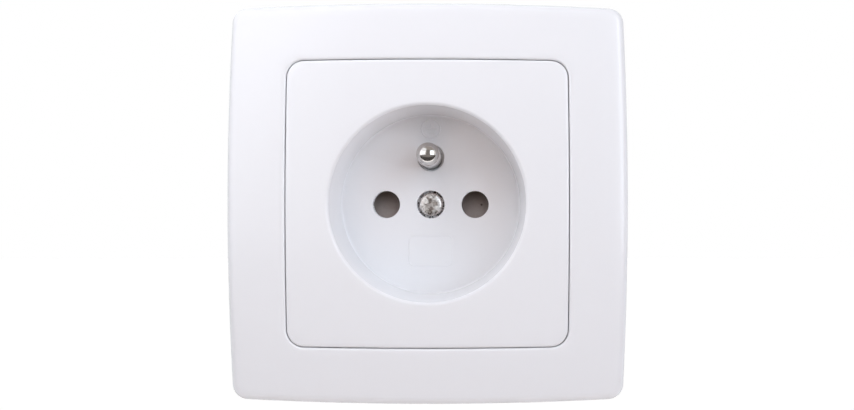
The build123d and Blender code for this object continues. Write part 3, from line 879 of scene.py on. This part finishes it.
# Half length of each bar of the sign and its height above the middle
SIGN_BARS = [(1.2, -0.1), (0.8, -0.6), (0.4, -1.1)]
PANEL_UP = -9.9
PANEL_WIDTH = 9.3
PANEL_HEIGHT = 6.4
PANEL_CORNER = 1.1
PANEL_STEPS = 6
BEAD_RADIUS = 0.16
BEAD_SIDES = 10
# How far the middle of a bead lies under the floor
SIGN_SINK = 0.03
PANEL_SINK = 0.08


def drawn_lines(name, lines, sink):
    """Mesh of edges along rows of points just under the floor; a row that returns to its start is closed."""
    mesh = bmesh.new()
    for line in lines:
        points = [mesh.verts.new(spot(x, y, FLOOR - sink)) for x, y in line]
        for a, b in zip(points, points[1:]):
            mesh.edges.new((a, b))
    bmesh.ops.remove_doubles(mesh, verts=mesh.verts, dist=MERGE)
    data = bpy.data.meshes.new(name)
    mesh.to_mesh(data)
    mesh.free()
    return data


def round_points(centre_x, centre_y, radius, start, end, steps):
    """Points on an arc between two angles in degrees, with both ends."""
    turns = [math.radians(start + (end - start) * i / steps) for i in range(steps + 1)]
    return [(centre_x + radius * math.cos(a), centre_y + radius * math.sin(a)) for a in turns]


stem = [(0.0, SIGN_UP + SIGN_STEM), (0.0, SIGN_UP + SIGN_BARS[0][1])]
sign_lines = [round_points(0.0, SIGN_UP, SIGN_RADIUS, 0, 360, SIGN_STEPS), stem]
sign_lines += [[(-half, SIGN_UP + up), (half, SIGN_UP + up)] for half, up in SIGN_BARS]
panel_line = []
for turn, side_x, side_y in ((0, 1, 1), (90, -1, 1), (180, -1, -1), (270, 1, -1)):
    middle_x = side_x * (PANEL_WIDTH / 2 - PANEL_CORNER)
    middle_y = PANEL_UP + side_y * (PANEL_HEIGHT / 2 - PANEL_CORNER)
    panel_line += round_points(middle_x, middle_y, PANEL_CORNER, turn, turn + 90, PANEL_STEPS)
panel_line.append(panel_line[0])
bead_values = {"Bead Radius": BEAD_RADIUS * MM, "Bead Sides": BEAD_SIDES, "Finish": white_abs}
for name, lines, sink in (("earth_sign", sign_lines, SIGN_SINK), ("floor_panel", [panel_line], PANEL_SINK)):
    mark = grown(name, drawn_lines(name, lines, sink), bead_tree, bead_values)
    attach(mark, "socket")

# %% [markdown]
# ## Return spring
# The shutter is pushed shut by a small coil spring of round wire. The frame's own spring is a plain polygon
# sweep, good for its place and length. A node tree winds a finer one: a spiral for the working turns and one
# flat dead turn at each end, with a round wire swept along all three. The real spring flattens as the shutter
# comes down; this one is wound at one length.

# %% Spring tree
COIL_STEPS = 40
WIRE_SIDES = 10
spring_tree, given, made = new_tree("coil_of_round_wire", [
    ("Coil Radius", "NodeSocketFloat"), ("Wire Radius", "NodeSocketFloat"), ("Length", "NodeSocketFloat"),
    ("Turns", "NodeSocketFloat"), ("Dead Rise", "NodeSocketFloat"), ("Start", "NodeSocketVector"),
    ("Finish", "NodeSocketMaterial")])
both_dead = add_node(spring_tree, "ShaderNodeMath", options={"operation": "MULTIPLY"}, inputs={
    0: given.outputs["Dead Rise"], 1: 2.0})
working = add_node(spring_tree, "ShaderNodeMath", options={"operation": "SUBTRACT"}, inputs={
    0: given.outputs["Length"], 1: both_dead.outputs[0]})
above = add_node(spring_tree, "ShaderNodeMath", inputs={0: working.outputs[0], 1: given.outputs["Dead Rise"]})
coils = add_node(spring_tree, "GeometryNodeJoinGeometry")
for turns, height, lift in (
    (1.0, given.outputs["Dead Rise"], 0.0),
    (given.outputs["Turns"], working.outputs[0], given.outputs["Dead Rise"]),
    (1.0, given.outputs["Dead Rise"], above.outputs[0]),
):
    spiral = add_node(spring_tree, "GeometryNodeCurveSpiral", inputs={
        "Resolution": COIL_STEPS, "Rotations": turns, "Start Radius": given.outputs["Coil Radius"],
        "End Radius": given.outputs["Coil Radius"], "Height": height})
    up = add_node(spring_tree, "ShaderNodeCombineXYZ", inputs={"Z": lift})
    raised = add_node(spring_tree, "GeometryNodeTransform", inputs={
        "Geometry": spiral.outputs["Curve"], "Translation": up.outputs["Vector"]})
    spring_tree.links.new(raised.outputs["Geometry"], coils.inputs["Geometry"])
wire = add_node(spring_tree, "GeometryNodeCurvePrimitiveCircle", inputs={
    "Radius": given.outputs["Wire Radius"], "Resolution": WIRE_SIDES})
swept = add_node(spring_tree, "GeometryNodeCurveToMesh", inputs={
    "Curve": coils.outputs["Geometry"], "Profile Curve": wire.outputs["Curve"], "Fill Caps": True})
placed = add_node(spring_tree, "GeometryNodeTransform", inputs={
    "Geometry": swept.outputs["Mesh"], "Translation": given.outputs["Start"]})
end_tree(spring_tree, given, made, placed.outputs["Geometry"])

# %% Coil spring
SPRING_LOW = -17.9
SPRING_HIGH = -6.3
SPRING_DEPTH = -10.1
SPRING_RADIUS = 1.35
WIRE_RADIUS = 0.175
WORKING_TURNS = 6.0
DEAD_RISE = 0.36
coil_spring = grown("coil_spring", bpy.data.meshes.new("spring_seed"), spring_tree, {
    "Coil Radius": SPRING_RADIUS * MM,
    "Wire Radius": WIRE_RADIUS * MM,
    "Length": (SPRING_HIGH - SPRING_LOW - 2 * WIRE_RADIUS) * MM,
    "Turns": WORKING_TURNS,
    "Dead Rise": DEAD_RISE * MM,
    "Start": spot(0, SPRING_LOW + WIRE_RADIUS, SPRING_DEPTH),
    "Finish": spring_steel,
})
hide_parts("shutter_spring")
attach(coil_spring, "socket")
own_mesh(coil_spring)

# %% [markdown]
# ## Terminal screws
# Three slotted screws hold the wires, all alike. One is turned with its thread as a row of ridges and its
# slot cut by a Boolean; a node tree then sets it on three of the four corners of a square ring, each turned
# to its own side.

# %% One terminal screw
HEAD_RADIUS = 2.8
HEAD_HEIGHT = 2.0
# Inwards from the rim and away from the outer face, along the rounded edge of the head
HEAD_EDGE = [(0.35, 0.0), (0.1, 0.1), (0.0, 0.35)]
SLOT_DEPTH = 0.9
SLOT_HALF = 0.4
SLOT_REACH = 4.0
SLOT_CLEAR = 1.0
END_RADIUS = 1.0
END_BEVEL = 0.4
near_corner, far_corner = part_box("terminal_screws")
SCREW_END = -near_corner[1] / MM
HEAD_BACK = -far_corner[1] / MM
HEAD_FRONT = HEAD_BACK + HEAD_HEIGHT
profile = [(POLE, HEAD_BACK)]
profile += [(HEAD_RADIUS - inwards, HEAD_BACK + away) for inwards, away in HEAD_EDGE]
profile += [(HEAD_RADIUS, HEAD_FRONT), (THREAD_ROOT, HEAD_FRONT)]
profile += thread(HEAD_FRONT + THREAD_NECK, SCREW_END - END_BEVEL, steps=28)
profile += [(END_RADIUS, SCREW_END), (POLE, SCREW_END)]
mesh = bmesh.new()
turned(mesh, profile)
one_screw = finish_piece("one_screw", mesh, zinc_steel)
slot_cutter = bmesh.new()
slot_start = HEAD_BACK - SLOT_CLEAR
slot_floor = HEAD_BACK + SLOT_DEPTH
block(slot_cutter, -SLOT_REACH, SLOT_REACH, -SLOT_HALF, SLOT_HALF, slot_start, slot_floor)
bmesh.ops.recalc_face_normals(slot_cutter, faces=slot_cutter.faces)
cut(one_screw, slot_cutter)

# %% Three terminal screws
TERMINAL_PLACE = 17.4
screw_tree, given, made = new_tree("screws_round_the_base", [
    ("Screw", "NodeSocketObject"), ("Place Radius", "NodeSocketFloat"), ("Finish", "NodeSocketMaterial")])
corners = add_node(screw_tree, "GeometryNodeMeshCircle", inputs={
    "Vertices": 4, "Radius": given.outputs["Place Radius"]})
upright = add_node(screw_tree, "GeometryNodeTransform", inputs={
    "Geometry": corners.outputs["Mesh"], "Rotation": (math.radians(90), 0, 0)})
number = add_node(screw_tree, "GeometryNodeInputIndex")
# Whole numbers are compared on this node's third and fourth inputs; counted from 0, the last corner is 3
whole_equal = {"data_type": "INT", "operation": "EQUAL"}
fourth = add_node(screw_tree, "FunctionNodeCompare", options=whole_equal, inputs={
    2: number.outputs["Index"], 3: 3})
three = add_node(screw_tree, "GeometryNodeDeleteGeometry", inputs={
    "Geometry": upright.outputs["Geometry"], "Selection": fourth.outputs["Result"]})
turn = add_node(screw_tree, "ShaderNodeMath", options={"operation": "MULTIPLY"}, inputs={
    0: number.outputs["Index"], 1: math.radians(-90)})
facing_side = add_node(screw_tree, "ShaderNodeCombineXYZ", inputs={"Y": turn.outputs[0]})
pattern = add_node(screw_tree, "GeometryNodeObjectInfo", inputs={"Object": given.outputs["Screw"]})
copies = add_node(screw_tree, "GeometryNodeInstanceOnPoints", inputs={
    "Points": three.outputs["Geometry"], "Instance": pattern.outputs["Geometry"],
    "Rotation": facing_side.outputs["Vector"]})
end_tree(screw_tree, given, made, copies.outputs["Instances"], smooth=False)
slotted_screws = grown("slotted_screws", bpy.data.meshes.new("screw_seed"), screw_tree, {
    "Screw": one_screw, "Place Radius": TERMINAL_PLACE * MM, "Finish": zinc_steel})
bpy.data.objects.remove(one_screw)
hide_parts("terminal_screws")
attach(slotted_screws, "socket")

# %% [markdown]
# ## Finishes for the pieces that stay as they are
# Flat sheet, strips and plain mouldings need no new mesh: the frame's own pieces have the right shape, and
# only get their finish here.

# %% Finishes of carried-over pieces
carried = {
    "cover_nut": zinc_steel,
    "shutter": shutter_nylon,
    "shutter_retainer": matte_white,
    "retainer_screws": zinc_steel,
    "mounting_plate": zinc_steel,
    "base_body": thermoset,
    "contact_cover": thermoset,
    "live_contact": rolled_brass,
    "neutral_contact": rolled_brass,
    "live_contact_spring": spring_steel,
    "neutral_contact_spring": spring_steel,
    "earth_strap": rolled_brass,
    "terminal_clamps": zinc_steel,
}
for name, finish in carried.items():
    nodes[name].data.materials.clear()
    nodes[name].data.materials.append(finish)
print("finishes given to", len(carried), "pieces")

# %% [markdown]
# ## Floor and surroundings
# A socket sits about 30 cm above the floor, so a pale floor lies that far below it. The room is white for the
# camera and for reflections, and gives only a soft fill to everything else.

# %% Floor
GROUND_LEVEL = -0.3
GROUND_SIDE = 12.0
GROUND_GLOW = 0.92


def seen_rays(tree):
    """Output that is 1 for what the camera, a mirror or a glass shows, and else 0."""
    rays = add_node(tree, "ShaderNodeLightPath")
    seen = rays.outputs["Is Camera Ray"]
    for kind in ("Is Glossy Ray", "Is Transmission Ray"):
        either = add_node(tree, "ShaderNodeMath", options={"operation": "MAXIMUM"}, inputs={
            0: seen, 1: rays.outputs[kind]})
        seen = either.outputs[0]
    return seen


floor_finish, tree, shader, place = new_finish("pale_studio_floor")
specks = add_node(tree, "ShaderNodeTexNoise", inputs={"Vector": place, "Scale": per_metre(40.0)})
tint = add_node(tree, "ShaderNodeMix", options={"data_type": "RGBA"}, inputs={
    "Factor": specks.outputs["Fac"], "A": linear("#F4F4F4"), "B": linear("#FAFAFA")})
glow = add_node(tree, "ShaderNodeMath", options={"operation": "MULTIPLY"}, inputs={
    0: seen_rays(tree), 1: GROUND_GLOW})
feed(tree, shader, {
    "Base Color": tint.outputs["Result"], "Roughness": 0.9,
    "Emission Color": WHITE, "Emission Strength": glow.outputs[0]})
bpy.ops.mesh.primitive_plane_add(size=GROUND_SIDE, location=(0, 0, GROUND_LEVEL))
floor = bpy.context.object
floor.name = "floor"
floor.data.materials.append(floor_finish)
print("floor at", round(floor.location.z, 3), "m")

# %% White room
world = bpy.data.worlds.new("white_room")
scene.world = world
world.use_nodes = True
tree = world.node_tree
fill = add_node(tree, "ShaderNodeBackground", inputs={"Color": linear("#FFEDE2"), "Strength": 0.04})
white = add_node(tree, "ShaderNodeBackground", inputs={"Color": WHITE, "Strength": 1.0})
both = add_node(tree, "ShaderNodeMixShader", inputs={
    0: seen_rays(tree), 1: fill.outputs[0], 2: white.outputs[0]})
feed(tree, tree.nodes["World Output"], {"Surface": both.outputs[0]})
print("room:", world.name)

# %% [markdown]
# ## Lights
# A soft box at the right front is the key light: it reaches into the recess and leaves its right side in
# shade. A warm one stands further round to the right and grazes the recess wall at the left. A large one
# fills from the left, and a small one hangs so near above that the face tones towards its lower edge. Two
# weak ones, one before the face and a warm one below it, open the recess. Three more stand about level with
# the wall and light the rounded edges, as a white wall would, and one behind the wall plane shows the back in
# other views. Bright metal mirrors only the key and the left one.

# %% Soft boxes
# Each lamp: name, azimuth and angle off the axis in degrees, distance and side in metres, watts, colour, and
# whether reflections show it
LAMPS = [
    ("key_soft_box", 18, 43, 0.7, 0.5, 2.2, "#DEF0FF", True),
    ("right_soft_box", 0, 65, 0.9, 0.5, 1.0, "#FAD8CC", False),
    ("left_soft_box", 150, 60, 0.4, 0.5, 0.76, "#ECF5FF", True),
    ("top_soft_box", 105, 62, 0.22, 0.15, 0.195, "#FDFCFF", False),
    ("front_soft_box", 100, 22, 0.5, 0.4, 0.54, "#F8ECEA", False),
    ("low_soft_box", 270, 40, 0.38, 0.3, 0.17, "#FFC391", False),
    ("rear_soft_box", 225, 145, 0.6, 0.6, 3.0, "#FBFDFF", False),
    ("right_edge_box", 0, 97, 0.35, 0.3, 0.15, "#EEF4FF", False),
    ("left_edge_box", 180, 97, 0.35, 0.3, 0.15, "#EEF4FF", False),
    ("low_edge_box", 270, 97, 0.35, 0.3, 1.2, "#EEF4FF", False),
]


def soft_box(name, azimuth, off_axis, distance, side, power, colour, mirrored):
    """Area lamp that looks at the socket from an angle off its axis, turned round the axis by an azimuth."""
    lean = math.radians(off_axis)
    around = math.radians(azimuth)
    heading = Vector((math.sin(lean) * math.cos(around), -math.cos(lean), math.sin(lean) * math.sin(around)))
    lamp = bpy.data.lights.new(name, "AREA")
    lamp.shape = "SQUARE"
    lamp.size = side
    lamp.energy = power
    lamp.color = linear(colour)[:3]
    box = bpy.data.objects.new(name, lamp)
    box.location = heading * distance
    box.rotation_euler = heading.to_track_quat("Z", "Y").to_euler()
    box.visible_camera = False
    box.visible_glossy = mirrored
    scene.collection.objects.link(box)


for lamp in LAMPS:
    soft_box(*lamp)

# %% [markdown]
# ## Grey cards
# Bright metal is only as good as what it mirrors. A photographer holds up cards, so a grey wall behind the
# camera, a grey table that is dark near the socket, and a paler ceiling stand round it here. Only reflections
# see them. They are not lit: each glows with its own grey, a painted reflection of a dim room.

# %% Grey cards out of view
TABLE = -0.06
CEILING = 0.5
CARD_HALF = 0.8
TABLE_START = 0.03
TABLE_STEP = 0.12
CEILING_START = -0.1
WALL_CARD_LEFT = -0.16
WALL_CARD_RIGHT = 0.28
WALL_CARD_TOP = 1.2
WALL_CARD_OUT = 0.6


def grey_card(name, corners, dark, light):
    """Glowing card that only reflections see, a painted reflection whose grey drifts between two colours."""
    finish, tree, shader, place = new_finish(name + "_painted_reflection")
    daubs = add_node(tree, "ShaderNodeTexNoise", inputs={"Vector": place, "Scale": per_metre(60.0)})
    tint = add_node(tree, "ShaderNodeMix", options={"data_type": "RGBA"}, inputs={
        "Factor": daubs.outputs["Fac"], "A": linear(dark), "B": linear(light)})
    # The card is not lit: it glows with its grey, which the metal shows as a painted reflection
    feed(tree, shader, {
        "Base Color": BLACK, "Roughness": 0.9,
        "Emission Color": tint.outputs["Result"], "Emission Strength": 1.0})
    data = bpy.data.meshes.new(name)
    data.from_pydata(corners, [], [(0, 1, 2, 3)])
    data.materials.append(finish)
    card = bpy.data.objects.new(name, data)
    card.visible_camera = False
    card.visible_diffuse = False
    card.visible_transmission = False
    card.visible_shadow = False
    scene.collection.objects.link(card)


def level_card(near, far, height):
    """Corners of a level card between two distances from the wall."""
    left, right = -CARD_HALF, CARD_HALF
    return [(left, -far, height), (right, -far, height), (right, -near, height), (left, -near, height)]


standing = [
    (WALL_CARD_LEFT, -WALL_CARD_OUT, TABLE), (WALL_CARD_RIGHT, -WALL_CARD_OUT, TABLE),
    (WALL_CARD_RIGHT, -WALL_CARD_OUT, WALL_CARD_TOP), (WALL_CARD_LEFT, -WALL_CARD_OUT, WALL_CARD_TOP)]
# The glowing greys are painted reflection; the table strip next to the socket is the darkest of them
grey_card("wall_card", standing, "#8B8683", "#938E8B")
grey_card("far_table_card", level_card(TABLE_STEP, CARD_HALF, TABLE), "#8B8683", "#958F8C")
grey_card("near_table_card", level_card(TABLE_START, TABLE_STEP, TABLE), "#464240", "#4E4A48")
grey_card("ceiling_card", level_card(CEILING_START, CARD_HALF, CEILING), "#B0ABA7", "#B8B3AF")
print("grey cards stand behind, below and above the camera")

# %% [markdown]
# ## Camera
# The photograph was taken from about 20 cm in front, a little right of the middle, looking straight at the
# wall. A small shift puts the socket where it stands in the picture without turning the camera.

# %% Camera
lens = bpy.data.cameras.new("camera")
lens.lens = 39.4
lens.sensor_width = 36.0
lens.shift_x = -0.058
lens.shift_y = 0.0103
lens.clip_start = 0.01
camera = bpy.data.objects.new("camera", lens)
camera.location = spot(9.8, -2.0, 195.0)
camera.rotation_euler = (math.radians(90), 0, 0)
scene.collection.objects.link(camera)
scene.camera = camera
print("camera at", tuple(round(v, 3) for v in camera.location))
